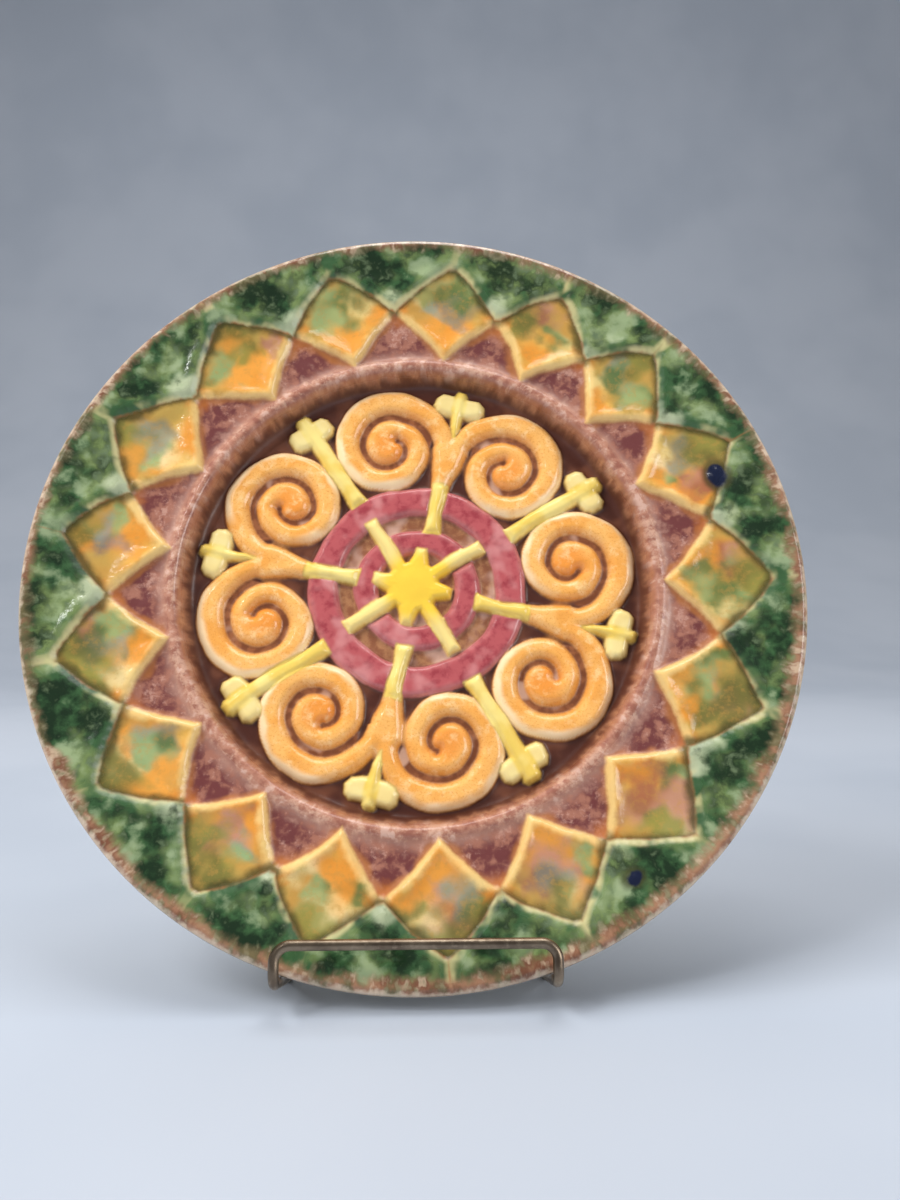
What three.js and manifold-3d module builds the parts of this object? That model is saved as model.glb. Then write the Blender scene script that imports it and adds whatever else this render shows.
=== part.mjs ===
// A moulded and glazed earthenware plate, leaning on the bent wire stand that shows it.
// Millimetres, +Z up, front towards -Y, origin on the table under the middle of the whole.
// The plate is drawn in its own frame first: x to the right, y up the plate, z out of its front,
// with z = 0 at the crest of the rim. Angles on the plate run clockwise from the top, in degrees.
import * as THREE from 'three';
import { mergeVertices } from 'three/addons/utils/BufferGeometryUtils.js';
import Module from 'manifold-3d';

// Plate: radii and heights of its turned body
const PLATE_RADIUS = 140;
const LIP_RADIUS = 134;
const SHOULDER_RADIUS = 88.4;
const WELL_RADIUS = 81.5;
const LIP_DEPTH = -1.3;
const SHOULDER_TOP = -7;
const WELL_FLOOR = -17;
const WELL_BACK = -25;
const RIM_THICKNESS = 6.6;
const FOOT_OUTER_RADIUS = 70;
const FOOT_INNER_RADIUS = 64;
const FOOT_BACK = -30.5;
const PLATE_SEGMENTS = 68;

// Lozenge border: the tiles were laid by eye, so each inner tip has its own angle
const TILE_ANGLES = [
  6.3, 26.1, 45, 65.2, 89.5, 111.6, 134.1, 155.7, 175.5,
  196.2, 214.2, 235.8, 256.9, 278.1, 298.8, 323.5, 344.7,
];
const TILE_INNER_RADIUS = 90.5;
const TILE_SIDE_RADIUS = 110.7;
const TILE_OUTER_RADIUS = 129.5;
const TILE_TOPS = { inner: -6.4, side: -5.6, outer: -3.6 };
const TILE_LAP = 0.4;
const TILE_BULGE = 1.3;
const TILE_PINCH = 1;
const LEAF_APEX_RADIUS = 112;
const LEAF_TOPS = { apex: -4.3, outer: -1 };
const LEAF_PARTING = 0.6;
const BORDER_DEPTH = 3.4;

// Ornament in the well: four forked stems with two volutes each, and four bars between them
const STEM_ANGLES = [12.6, 103.5, 192, 280.8];
const VOLUTE_ANGLES = [12.6, 103.5, 193.5, 280.8];
const BAR_ANGLES = [58.5, 149.6, 236.7, 326.7];
const RELIEF_DEPTH = 5;
const VOLUTE_TOP = -13.4;
const BAR_TOP = -13.1;
const LOBE_TOP = -13.8;
const RING_TOP = -14.2;
const STAR_TOP = -13;
const VOLUTE_SIDE = 22.9;
const VOLUTE_OUT = 53;
const VOLUTE_CROWN = 24.6;
const VOLUTE_EYE = 3.5;
const VOLUTE_QUARTERS = 7.7;
const VOLUTE_CLOSING = 1.25;
const BAND_WIDTH = 9.6;
const BAND_TAPER = 0.62;
const BAND_FORK_TAPER = 3.4;
const VOLUTE_STEP = 0.34;
const OUTER_RING = { inner: 29.5, outer: 40 };
const INNER_RING = { inner: 14.5, outer: 23 };
const RING_GAP = 2;
const RING_STEPS = 6;
const STAR_SHIFT = { x: -1.5, y: 1 };
const STAR_BODY_RADIUS = 9.8;
const STAR_BODY_SIDES = 16;
const STAR_RAY_RADIUS = 29.5;
const STAR_POINT_RADIUS = 14.6;
const STAR_RAY_HALF_WIDTH = 2.5;

// Stand: one wire, its bends and how the plate leans on it
const LEAN = 18.5;
const WIRE_DIAMETER = 3.4;
const WIRE_SIDES = 8;
const BEND_RADIUS = 5;
const TOP_BEND_RADIUS = 9;
const STAND_HALF_WIDTH = 44;
const LIP_BAR_HEIGHT = -123.3;
const LIP_BAR_FRONT = 10;
const UPRIGHT_TOP = 96;
const REAR_LEG_SPLAY = 12;
const FOOT_FLAT = 0.15;
const TOUCH_GAP = 0.3;
const BUTT_GAP = 0.3;

const library = await Module();
library.setup();

// A closed geometry as a solid that can be joined and cut.
function solid(geometry) {
  const bare = geometry.clone();
  bare.deleteAttribute('normal');
  bare.deleteAttribute('uv');
  const merged = mergeVertices(bare);
  const corners = merged.index.array;
  const kept = [];
  for (let i = 0; i < corners.length; i += 3) {
    const [a, b, c] = [corners[i], corners[i + 1], corners[i + 2]];
    if (a !== b && b !== c && c !== a) kept.push(a, b, c);
  }
  return new library.Manifold(new library.Mesh({
    numProp: 3,
    vertProperties: new Float32Array(merged.attributes.position.array),
    triVerts: new Uint32Array(kept),
  }));
}

// The geometry of a joined or cut solid.
function geometryOf(body) {
  const mesh = body.getMesh();
  const geometry = new THREE.BufferGeometry();
  geometry.setAttribute('position', new THREE.BufferAttribute(mesh.vertProperties, 3));
  geometry.setIndex(new THREE.BufferAttribute(mesh.triVerts, 1));
  geometry.computeVertexNormals();
  return geometry;
}

const joined = (pieces) => pieces.reduce((whole, piece) => whole.add(piece));

// A point of the plate at a radius and a clock angle.
function onPlate(radius, degrees) {
  const angle = THREE.MathUtils.degToRad(degrees);
  return new THREE.Vector2(radius * Math.sin(angle), radius * Math.cos(angle));
}

// An outline drawn as [side, out] pairs along an axis, turned so that the axis has a clock angle.
function turned(pairs, degrees) {
  const angle = THREE.MathUtils.degToRad(degrees);
  return pairs.map(([side, out]) => new THREE.Vector2(
    side * Math.cos(angle) + out * Math.sin(angle),
    out * Math.cos(angle) - side * Math.sin(angle),
  ));
}

// The right half of a symmetric outline, closed by its mirror image.
const mirrored = (half) => [...half, ...half.map(([side, out]) => [-side, out]).reverse()];

// Raised ornament: an outline whose flat or sloping top stands out of the body it is buried in.
function raised(outline, depth, top) {
  const geometry = new THREE.ExtrudeGeometry(new THREE.Shape(outline), { depth, bevelEnabled: false });
  const position = geometry.attributes.position;
  for (let i = 0; i < position.count; i += 1) {
    const height = top(Math.hypot(position.getX(i), position.getY(i)));
    position.setZ(i, position.getZ(i) + height - depth);
  }
  return solid(geometry);
}

// The turned body: front from the middle to the rim, then the back with its foot ring.
function turnedBody() {
  const front = [
    [0, WELL_FLOOR],
    [WELL_RADIUS, WELL_FLOOR],
    [WELL_RADIUS + 2.2, WELL_FLOOR + 1.2],
    [SHOULDER_RADIUS - 2.6, SHOULDER_TOP - 2.5],
    [SHOULDER_RADIUS - 1.6, SHOULDER_TOP - 0.5],
    [SHOULDER_RADIUS, SHOULDER_TOP],
    [SHOULDER_RADIUS + 2, SHOULDER_TOP - 0.5],
    [SHOULDER_RADIUS + 3.6, SHOULDER_TOP - 1.7],
    [TILE_SIDE_RADIUS, SHOULDER_TOP - 0.5],
    [TILE_OUTER_RADIUS + 1.5, SHOULDER_TOP + 2.6],
    [LIP_RADIUS, LIP_DEPTH],
    [PLATE_RADIUS - 2.6, 0],
    [PLATE_RADIUS - 0.5, -1.1],
    [PLATE_RADIUS, -RIM_THICKNESS / 2],
  ];
  const back = [
    [PLATE_RADIUS - 0.9, -RIM_THICKNESS + 1],
    [PLATE_RADIUS - 3.6, -RIM_THICKNESS],
    [TILE_SIDE_RADIUS, -RIM_THICKNESS - 6],
    [SHOULDER_RADIUS - 4, WELL_BACK + 3.6],
    [FOOT_OUTER_RADIUS + 2.4, WELL_BACK + 0.4],
    [FOOT_OUTER_RADIUS, FOOT_BACK + 1.2],
    [FOOT_OUTER_RADIUS - 1.2, FOOT_BACK],
    [FOOT_INNER_RADIUS + 1.2, FOOT_BACK],
    [FOOT_INNER_RADIUS, FOOT_BACK + 1.2],
    [FOOT_INNER_RADIUS - 2, WELL_BACK],
    [0, WELL_BACK],
  ];
  const profile = [...back.reverse(), ...front.reverse()].map((pair) => new THREE.Vector2(...pair));
  return solid(new THREE.LatheGeometry(profile, PLATE_SEGMENTS).rotateX(Math.PI / 2));
}

// The angle halfway from one tile to the next, where their side corners meet.
function junctionAfter(index) {
  const here = TILE_ANGLES[index];
  const next = TILE_ANGLES[(index + 1) % TILE_ANGLES.length];
  return here + THREE.MathUtils.euclideanModulo(next - here, 360) / 2;
}

// The middle of an edge that bows to its right.
function bowed(from, to, bow) {
  const way = to.clone().sub(from);
  const right = new THREE.Vector2(way.y, -way.x).normalize();
  return from.clone().lerp(to, 0.5).addScaledVector(right, bow);
}

// Border: orange lozenge tiles on the sunk ground, and leaf-green triangles lapping over them.
function border() {
  const { mapLinear, euclideanModulo } = THREE.MathUtils;
  const tileTop = (radius) => (radius < TILE_SIDE_RADIUS
    ? mapLinear(radius, TILE_INNER_RADIUS, TILE_SIDE_RADIUS, TILE_TOPS.inner, TILE_TOPS.side)
    : mapLinear(radius, TILE_SIDE_RADIUS, TILE_OUTER_RADIUS, TILE_TOPS.side, TILE_TOPS.outer));
  const leafTop = (radius) => (
    mapLinear(radius, LEAF_APEX_RADIUS, LIP_RADIUS, LEAF_TOPS.apex, LEAF_TOPS.outer));
  const pieces = [];
  TILE_ANGLES.forEach((angle, index) => {
    const before = junctionAfter((index + TILE_ANGLES.length - 1) % TILE_ANGLES.length);
    const after = junctionAfter(index);
    const next = after + euclideanModulo(after - angle, 360);
    const inner = onPlate(TILE_INNER_RADIUS, angle);
    const tip = onPlate(TILE_OUTER_RADIUS, angle);
    const right = onPlate(TILE_SIDE_RADIUS, after + TILE_LAP);
    const left = onPlate(TILE_SIDE_RADIUS, before - TILE_LAP);
    pieces.push(raised([
      inner,
      bowed(inner, right, -TILE_PINCH),
      right,
      bowed(right, tip, TILE_BULGE),
      tip,
      bowed(tip, left, TILE_BULGE),
      left,
      bowed(left, inner, -TILE_PINCH),
    ], BORDER_DEPTH, tileTop));
    const from = angle + LEAF_PARTING;
    const to = next - LEAF_PARTING;
    const apex = onPlate(LEAF_APEX_RADIUS, after);
    const [start, end] = [from, to].map((side) => onPlate(TILE_OUTER_RADIUS, side));
    pieces.push(raised([
      apex,
      bowed(apex, start, TILE_BULGE),
      start,
      onPlate(LIP_RADIUS + 0.6, from),
      onPlate(LIP_RADIUS + 0.6, after - (after - from) / 3),
      onPlate(LIP_RADIUS + 0.6, after + (to - after) / 3),
      onPlate(LIP_RADIUS + 0.6, to),
      end,
      bowed(end, apex, TILE_BULGE),
    ], BORDER_DEPTH, leafTop));
  });
  return joined(pieces);
}

// Edge of a volute, by quarter turns from its crown, and the width of its band there.
const voluteEdge = (quarters) => (quarters < 0
  ? VOLUTE_CROWN
  : VOLUTE_EYE + (VOLUTE_CROWN - VOLUTE_EYE) * (1 - quarters / VOLUTE_QUARTERS) ** VOLUTE_CLOSING);
const bandWidth = (quarters) => BAND_WIDTH + quarters * (quarters < 0 ? BAND_FORK_TAPER : -BAND_TAPER);

// One volute beside a stem: its band winds in from the stem over the crown, with a groove between turns.
function volute(angle, hand) {
  const at = (radius, quarters) => {
    const turn = quarters * Math.PI / 2;
    return [hand * (VOLUTE_SIDE + radius * Math.sin(turn)), VOLUTE_OUT + radius * Math.cos(turn)];
  };
  const outer = [];
  const inner = [];
  for (let quarters = -1; quarters < VOLUTE_QUARTERS; quarters += VOLUTE_STEP) {
    outer.push(at(voluteEdge(quarters), quarters));
  }
  outer.push(at(VOLUTE_EYE, VOLUTE_QUARTERS));
  for (let quarters = VOLUTE_QUARTERS - 4; quarters > -1; quarters -= VOLUTE_STEP) {
    inner.push(at(voluteEdge(quarters) - bandWidth(quarters), quarters));
  }
  inner.push(at(VOLUTE_CROWN - bandWidth(-1), -1));
  return raised(turned([...outer, ...inner], angle), RELIEF_DEPTH, () => VOLUTE_TOP);
}

// Forked stems with their volutes, the yellow collar below each and the lobed spike in each fork.
function stems() {
  const stem = mirrored([[2.9, 39.5], [3.8, 45], [5.6, 51], [6.4, 56.5], [3.2, 60.5]]);
  const collar = mirrored([[3.2, 22], [2.2, 31], [2.9, 42]]);
  const spike = [[0, 61], ...mirrored([[1.6, 66], [2.2, 74], [2.2, 81], [1.4, 82.2]])];
  const lobes = mirrored([[4.4, 71.3], [7.8, 72.4], [9.5, 74.8], [9, 78], [7.2, 79.8]]);
  return joined(STEM_ANGLES.flatMap((angle, index) => [
    volute(VOLUTE_ANGLES[index], 1),
    volute(VOLUTE_ANGLES[index], -1),
    raised(turned(stem, angle), RELIEF_DEPTH, () => VOLUTE_TOP),
    raised(turned(collar, angle), RELIEF_DEPTH, () => BAR_TOP),
    raised(turned(spike, angle), RELIEF_DEPTH, () => BAR_TOP),
    raised(turned(lobes, angle), RELIEF_DEPTH, () => LOBE_TOP),
  ]));
}

// Long bars between the stems, each with a three-lobed head at the well's edge.
function bars() {
  const bar = mirrored([[3.2, 39.5], [2.8, 46], [2.8, 64], [3.2, 80.6], [2, 82]]);
  const lobes = mirrored([[3.6, 70], [7, 70.6], [8.7, 72.6], [8.6, 76.8], [7, 78.8]]);
  return joined(BAR_ANGLES.flatMap((angle) => [
    raised(turned(bar, angle), RELIEF_DEPTH, () => BAR_TOP),
    raised(turned(lobes, angle), RELIEF_DEPTH, () => LOBE_TOP),
  ]));
}

// One arc of a broken ring, from one break to the next, its ends tucked under what stands in the breaks.
function ringArc(ring, from, to) {
  const start = from + THREE.MathUtils.radToDeg(RING_GAP / (ring.inner + ring.outer) * 2);
  const end = to - (start - from);
  const steps = [...Array(RING_STEPS + 1).keys()].map((step) => start + (end - start) * step / RING_STEPS);
  return raised([
    ...steps.map((angle) => onPlate(ring.outer, angle)),
    ...steps.map((angle) => onPlate(ring.inner, angle)).reverse(),
  ], RELIEF_DEPTH, () => RING_TOP);
}

// Two broken rings round the star: the outer opens at the collars, the inner at the star's rays.
function rings() {
  const arcs = (ring, breaks) => breaks.map((angle, index) => {
    const next = breaks[(index + 1) % breaks.length];
    return ringArc(ring, angle, angle + THREE.MathUtils.euclideanModulo(next - angle, 360));
  });
  return joined([...arcs(OUTER_RING, STEM_ANGLES), ...arcs(INNER_RING, BAR_ANGLES)]);
}

// Star in the middle: a round body, four long rays towards the bars and four short points.
function star() {
  const ray = mirrored([[STAR_RAY_HALF_WIDTH, 0], [STAR_RAY_HALF_WIDTH, STAR_RAY_RADIUS]]);
  const point = mirrored([[4.6, 0], [3.6, STAR_BODY_RADIUS - 0.8], [1.8, STAR_POINT_RADIUS]]);
  const sides = [...Array(STAR_BODY_SIDES).keys()];
  const body = sides.map((side) => onPlate(STAR_BODY_RADIUS, side * 360 / STAR_BODY_SIDES));
  const shifted = (outline) => outline.map((point) => point.clone().add(STAR_SHIFT));
  const outlines = [
    body,
    ...BAR_ANGLES.map((angle) => turned(ray, angle)),
    ...STEM_ANGLES.map((angle) => turned(point, angle)),
  ];
  return joined(outlines.map((outline) => raised(shifted(outline), RELIEF_DEPTH, () => STAR_TOP)));
}

// A wire given by its stations, so that straight runs take no more steps than their ends.
class BentWire extends THREE.Curve {
  constructor(stations) {
    super();
    this.stations = stations;
  }

  station(along) {
    return this.stations[Math.round(along * (this.stations.length - 1))];
  }

  getPointAt(along) {
    return this.station(along).point.clone();
  }

  getTangentAt(along) {
    return this.station(along).tangent.clone();
  }
}

// Stations along straight runs whose corners are bent round.
function bent(corners) {
  const stations = [];
  corners.forEach(({ point, radius }, index) => {
    if (!radius) {
      const other = corners[index ? index - 1 : 1].point;
      const tangent = point.clone().sub(other).normalize();
      stations.push({ point, tangent: index ? tangent : tangent.negate() });
      return;
    }
    const arriving = point.clone().sub(corners[index - 1].point).normalize();
    const leaving = corners[index + 1].point.clone().sub(point).normalize();
    const turn = arriving.angleTo(leaving);
    const axis = arriving.clone().cross(leaving).normalize();
    const start = point.clone().addScaledVector(arriving, -radius * Math.tan(turn / 2));
    const centre = start.clone().addScaledVector(axis.clone().cross(arriving), radius);
    const steps = Math.ceil(turn / (Math.PI / 9));
    for (let step = 0; step <= steps; step += 1) {
      const angle = turn * step / steps;
      stations.push({
        point: start.clone().sub(centre).applyAxisAngle(axis, angle).add(centre),
        tangent: arriving.clone().applyAxisAngle(axis, angle),
      });
    }
  });
  return stations;
}

// The stand in the plate's frame: from the middle of the foot bar, up the rear leg, down the upright,
// along the run under the rim and over the lip, and back the same way on the other side.
function standGeometry() {
  const wireRadius = WIRE_DIAMETER / 2;
  const lean = THREE.MathUtils.degToRad(LEAN);
  const runHeight = -Math.sqrt((PLATE_RADIUS + wireRadius + TOUCH_GAP) ** 2 - STAND_HALF_WIDTH ** 2);
  const uprightBack = FOOT_BACK - wireRadius - TOUCH_GAP;
  // Height over the table, and the table's height under the front feet's bends
  const level = (y, z) => y * Math.cos(lean) + z * Math.sin(lean);
  const bendCentre = level(runHeight + BEND_RADIUS, uprightBack + BEND_RADIUS);
  const table = bendCentre - BEND_RADIUS - wireRadius + FOOT_FLAT;
  // The rear leg leaves the top of the upright and reaches the table behind the plate
  const legTurn = lean + THREE.MathUtils.degToRad(REAR_LEG_SPLAY);
  const drop = level(UPRIGHT_TOP, uprightBack) - table - wireRadius + FOOT_FLAT;
  const legLength = drop / Math.cos(THREE.MathUtils.degToRad(REAR_LEG_SPLAY));
  const footHeight = UPRIGHT_TOP - legLength * Math.cos(legTurn);
  const footBack = uprightBack - legLength * Math.sin(legTurn);
  const half = [
    { side: BUTT_GAP / 2, y: footHeight, z: footBack, radius: 0 },
    { side: STAND_HALF_WIDTH, y: footHeight, z: footBack, radius: BEND_RADIUS },
    { side: STAND_HALF_WIDTH, y: UPRIGHT_TOP, z: uprightBack, radius: TOP_BEND_RADIUS },
    { side: STAND_HALF_WIDTH, y: runHeight, z: uprightBack, radius: BEND_RADIUS },
    { side: STAND_HALF_WIDTH, y: runHeight, z: LIP_BAR_FRONT, radius: BEND_RADIUS },
    { side: STAND_HALF_WIDTH, y: LIP_BAR_HEIGHT, z: LIP_BAR_FRONT, radius: BEND_RADIUS },
  ];
  const corner = (hand) => ({ side, y, z, radius }) => (
    { point: new THREE.Vector3(hand * side, y, z), radius });
  const stations = bent([...half.map(corner(1)), ...half.map(corner(-1)).reverse()]);
  const section = Array.from({ length: WIRE_SIDES }, (_, side) => {
    const angle = (side + 0.5) * 2 * Math.PI / WIRE_SIDES;
    return new THREE.Vector2(wireRadius * Math.cos(angle), wireRadius * Math.sin(angle));
  });
  const wire = new THREE.ExtrudeGeometry(new THREE.Shape(section), {
    steps: stations.length - 1,
    extrudePath: new BentWire(stations),
    bevelEnabled: false,
  });
  return { wire, table };
}

// Feet ground flat: everything below the table's plane is cut away.
function onTable(wire) {
  const ground = new THREE.BoxGeometry(600, 600, 100).translate(0, 0, -50);
  return geometryOf(solid(wire).subtract(solid(ground)));
}

const glaze = new THREE.MeshStandardMaterial({ color: 0xd9964a, roughness: 0.2, metalness: 0 });
const wireFinish = new THREE.MeshStandardMaterial({ color: 0x8f8172, roughness: 0.4, metalness: 1 });

const { wire, table } = standGeometry();
const tilt = Math.PI / 2 - THREE.MathUtils.degToRad(LEAN);
const moulded = joined([turnedBody(), border(), stems(), bars(), rings(), star()]);
const plate = new THREE.Mesh(geometryOf(moulded), glaze);
plate.name = 'plate';
plate.rotation.x = tilt;
plate.position.z = -table;

const stand = new THREE.Mesh(onTable(wire.rotateX(tilt).translate(0, 0, -table)), wireFinish);
stand.name = 'stand';

// The whole is centred over the origin
const display = new THREE.Group();
display.add(plate, stand);
const middle = new THREE.Box3().setFromObject(display, true).getCenter(new THREE.Vector3());
display.position.set(-middle.x, -middle.y, 0);

const group = new THREE.Group();
group.add(display);

export default group;
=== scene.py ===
import math

import bpy
import numpy as np
from mathutils import Matrix, Vector


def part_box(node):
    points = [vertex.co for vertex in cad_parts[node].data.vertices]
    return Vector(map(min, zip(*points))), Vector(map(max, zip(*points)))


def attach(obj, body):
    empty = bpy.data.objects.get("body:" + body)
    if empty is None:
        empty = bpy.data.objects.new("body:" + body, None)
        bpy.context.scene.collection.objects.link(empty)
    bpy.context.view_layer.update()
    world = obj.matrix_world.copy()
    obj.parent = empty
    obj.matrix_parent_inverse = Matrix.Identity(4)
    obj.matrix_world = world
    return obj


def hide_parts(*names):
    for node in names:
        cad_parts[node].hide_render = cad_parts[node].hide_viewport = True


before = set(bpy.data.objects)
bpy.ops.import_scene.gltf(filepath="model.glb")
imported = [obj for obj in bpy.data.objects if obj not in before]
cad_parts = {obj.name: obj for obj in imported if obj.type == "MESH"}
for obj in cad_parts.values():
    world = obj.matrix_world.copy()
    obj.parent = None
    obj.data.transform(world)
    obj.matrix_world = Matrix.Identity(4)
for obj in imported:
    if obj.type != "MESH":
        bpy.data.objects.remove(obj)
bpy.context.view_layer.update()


# Stand: one length of drawn wire bent into a lip in front, two uprights and two rear legs.
# It is darkened brass with a satin skin. Its ends butt together in the middle of the rear
# foot bar, and it is ground flat where it meets the table.
LEAN = math.radians(18.5)
WIRE_RADIUS = 1.7
STAND_HALF_WIDTH = 44
LIP_BAR_HEIGHT = -123.3
LIP_BAR_FRONT = 10
RUN_HEIGHT = -135.01
UPRIGHT_BACK = -32.5
UPRIGHT_TOP = 96
BEND = 5
TOP_BEND = 9
BEND_STEPS = 10
FOOT_FLAT = 0.15
HALF_BUTT_GAP = 0.15
WIRE_ROUNDNESS = 5
WIRE_CREASE = math.radians(40)
SAME_PLACE = 0.000001
ON_THE_CUT = 0.0000001
RIM_BEHIND_FRONT = 43.60
RIM_BELOW_TOP = 131.94

# The plate's own millimetres (across, up the plate, out of its front) in the row's metres. The middle of
# its rim is found from the foremost and the highest point of the plate.
plate_low, plate_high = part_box("plate")
rim_back = plate_low.y * 1000 + RIM_BEHIND_FRONT
rim_height = plate_high.z * 1000 - RIM_BELOW_TOP
PLATE_TO_ROW = Matrix.Scale(0.001, 4) @ Matrix((
    (1, 0, 0, 0),
    (0, math.sin(LEAN), -math.cos(LEAN), rim_back),
    (0, math.cos(LEAN), math.sin(LEAN), rim_height),
    (0, 0, 0, 1),
))


def bent_wire(corners):
    """Points along straight runs whose corners are bent round to their own radius."""
    points = []
    for index, (corner, radius) in enumerate(corners):
        if not radius:
            points.append(corner)
            continue
        arriving = (corner - corners[index - 1][0]).normalized()
        leaving = (corners[index + 1][0] - corner).normalized()
        turn = arriving.angle(leaving)
        axis = arriving.cross(leaving).normalized()
        start = corner - arriving * radius * math.tan(turn / 2)
        centre = start + axis.cross(arriving) * radius
        for step in range(BEND_STEPS + 1):
            turned = Matrix.Rotation(turn * step / BEND_STEPS, 3, axis)
            points.append(centre + turned @ (start - centre))
    return points


def drawn_line(name, points):
    """A chain of edges through the points, pulled out of a single corner as by hand."""
    bpy.ops.object.select_all(action="DESELECT")
    bpy.ops.mesh.primitive_plane_add(size=1)
    made = bpy.context.object
    made.name = name
    bpy.ops.object.mode_set(mode="EDIT")
    bpy.ops.mesh.select_mode(type="VERT")
    bpy.ops.mesh.select_all(action="SELECT")
    bpy.ops.mesh.merge(type="CENTER")
    bpy.ops.transform.translate(value=points[0])
    for before, after in zip(points, points[1:]):
        bpy.ops.mesh.extrude_region_move(TRANSFORM_OT_translate={"value": after - before})
    bpy.ops.object.mode_set(mode="OBJECT")
    return made


foot_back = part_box("stand")[1].y * 1000 - WIRE_RADIUS
foot_height = WIRE_RADIUS - FOOT_FLAT
half_wire = [
    (Vector((HALF_BUTT_GAP, foot_back, foot_height)) / 1000, 0),
    (Vector((STAND_HALF_WIDTH, foot_back, foot_height)) / 1000, BEND / 1000),
    (PLATE_TO_ROW @ Vector((STAND_HALF_WIDTH, UPRIGHT_TOP, UPRIGHT_BACK)), TOP_BEND / 1000),
    (PLATE_TO_ROW @ Vector((STAND_HALF_WIDTH, RUN_HEIGHT, UPRIGHT_BACK)), BEND / 1000),
    (PLATE_TO_ROW @ Vector((STAND_HALF_WIDTH, RUN_HEIGHT, LIP_BAR_FRONT)), BEND / 1000),
    (PLATE_TO_ROW @ Vector((STAND_HALF_WIDTH, LIP_BAR_HEIGHT, LIP_BAR_FRONT)), BEND / 1000),
]
other_half = [(Vector((-at.x, at.y, at.z)), radius) for at, radius in reversed(half_wire)]
wire_stand = drawn_line("wire_stand", bent_wire(half_wire + other_half))
bpy.ops.object.convert(target="CURVE")
wire_stand.data.bevel_depth = WIRE_RADIUS / 1000
wire_stand.data.bevel_resolution = WIRE_ROUNDNESS
wire_stand.data.use_fill_caps = True
bpy.ops.object.convert(target="MESH")
bpy.ops.object.mode_set(mode="EDIT")
bpy.ops.mesh.select_all(action="SELECT")
bpy.ops.mesh.remove_doubles(threshold=SAME_PLACE)
bpy.ops.mesh.bisect(
    plane_co=(0, 0, 0), plane_no=(0, 0, 1), use_fill=True, clear_inner=True, threshold=ON_THE_CUT,
)
bpy.ops.mesh.select_all(action="SELECT")
bpy.ops.mesh.normals_make_consistent(inside=False)
bpy.ops.object.mode_set(mode="OBJECT")
bpy.ops.object.shade_smooth_by_angle(angle=WIRE_CREASE)


def tint(code):
    """A colour as a maker reads it off a chart, for a shader socket."""
    parts = [int(code[at:at + 2], 16) / 255 for at in (0, 2, 4)]
    return (*[c / 12.92 if c <= 0.04045 else ((c + 0.055) / 1.055) ** 2.4 for c in parts], 1)


def feed(tree, socket, value):
    """Joins a socket to another, or sets it."""
    if isinstance(value, bpy.types.NodeSocket):
        tree.links.new(value, socket)
    else:
        socket.default_value = value


def worked(tree, operation, first, second=0.0):
    """Two values added, multiplied or compared."""
    node = tree.nodes.new("ShaderNodeMath")
    node.operation = operation
    feed(tree, node.inputs[0], first)
    feed(tree, node.inputs[1], second)
    return node.outputs[0]


def fade(tree, value, none, full):
    """A mask that goes softly from none to full."""
    node = tree.nodes.new("ShaderNodeMapRange")
    node.interpolation_type = "SMOOTHSTEP"
    for name, given in (("Value", value), ("From Min", none), ("From Max", full)):
        feed(tree, node.inputs[name], given)
    return node.outputs[0]


def cloud(tree, place, scale, detail=3.0, rough=0.55, swirl=0.0):
    """Soft uneven patches, about 1 / scale across."""
    node = tree.nodes.new("ShaderNodeTexNoise")
    feed(tree, node.inputs["Vector"], place)
    for name, given in (("Scale", scale), ("Detail", detail), ("Roughness", rough), ("Distortion", swirl)):
        node.inputs[name].default_value = given
    return node.outputs["Fac"]


def laid(tree, under, over, mask):
    """One colour laid over another through a mask."""
    node = tree.nodes.new("ShaderNodeMix")
    node.data_type = "RGBA"
    feed(tree, node.inputs[0], mask)
    feed(tree, node.inputs[6], under)
    feed(tree, node.inputs[7], over)
    return node.outputs[2]


def finish_named(name):
    """A new material, its node tree and its shader."""
    material = bpy.data.materials.new(name)
    material.use_nodes = True
    return material, material.node_tree, material.node_tree.nodes["Principled BSDF"]


darkened_brass, tree, shader = finish_named("darkened_brass")
spot = tree.nodes.new("ShaderNodeTexCoord").outputs["Object"]
handled = fade(tree, cloud(tree, spot, 90), 0.42, 0.66)
rubbed = fade(tree, cloud(tree, spot, 420, 4), 0.5, 0.72)
brass = laid(tree, tint("8d7d6b"), tint("6f6153"), handled)
brass = laid(tree, brass, tint("a89883"), worked(tree, "MULTIPLY", rubbed, 0.6))
feed(tree, shader.inputs["Base Color"], brass)
shader.inputs["Metallic"].default_value = 1
rough = tree.nodes.new("ShaderNodeMapRange")
feed(tree, rough.inputs["Value"], cloud(tree, spot, 700, 2))
rough.inputs["To Min"].default_value = 0.27
rough.inputs["To Max"].default_value = 0.45
feed(tree, shader.inputs["Roughness"], rough.outputs[0])
draw_marks = tree.nodes.new("ShaderNodeBump")
draw_marks.inputs["Strength"].default_value = 0.25
draw_marks.inputs["Distance"].default_value = 0.0001
feed(tree, draw_marks.inputs["Height"], cloud(tree, spot, 1500, 2))
feed(tree, shader.inputs["Normal"], draw_marks.outputs[0])
wire_stand.data.materials.clear()
wire_stand.data.materials.append(darkened_brass)
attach(wire_stand, "root")
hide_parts("stand")


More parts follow.
